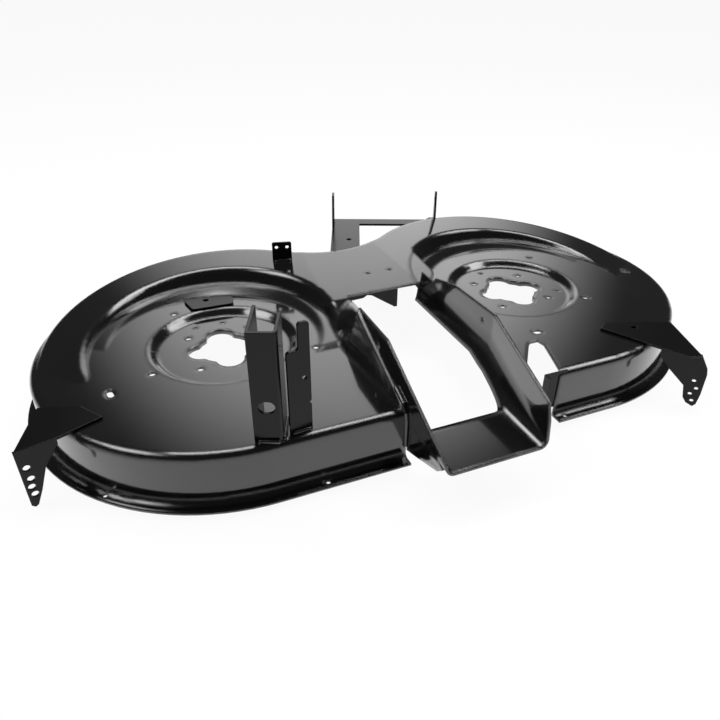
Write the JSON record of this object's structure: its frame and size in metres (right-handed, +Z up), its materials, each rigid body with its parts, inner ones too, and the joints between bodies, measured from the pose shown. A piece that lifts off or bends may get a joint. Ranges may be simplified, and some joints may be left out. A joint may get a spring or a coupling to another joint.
{
  "type": "lawn mower deck",
  "caption": "Welded pressed-steel mower deck shell with twin blade chambers, sunken spindle seats, a folded discharge tunnel and hanging brackets.",
  "frame": {"origin": "under the middle of the deck's bounding box, on the floor it rests on", "axes": "+X along the line through both spindle seats, +Y to the front of the machine, +Z up"},
  "size_m": [1.078, 0.7004, 0.234],
  "materials": {
    "shell_paint": "gloss black",
    "bracket_paint": "gloss black"
  },
  "bodies": {
    "root": {"deck_shell": "shell_paint", "discharge_tunnel": "shell_paint", "left_lift_bracket": "bracket_paint", "slotted_plate": "bracket_paint", "pad_plate": "bracket_paint", "two_hole_tab": "bracket_paint", "front_hanger": "bracket_paint", "neck_stiffener": "bracket_paint", "left_wheel_bracket": "bracket_paint", "right_wheel_bracket": "bracket_paint", "right_lift_bracket": "bracket_paint"}
  },
  "joints": []
}
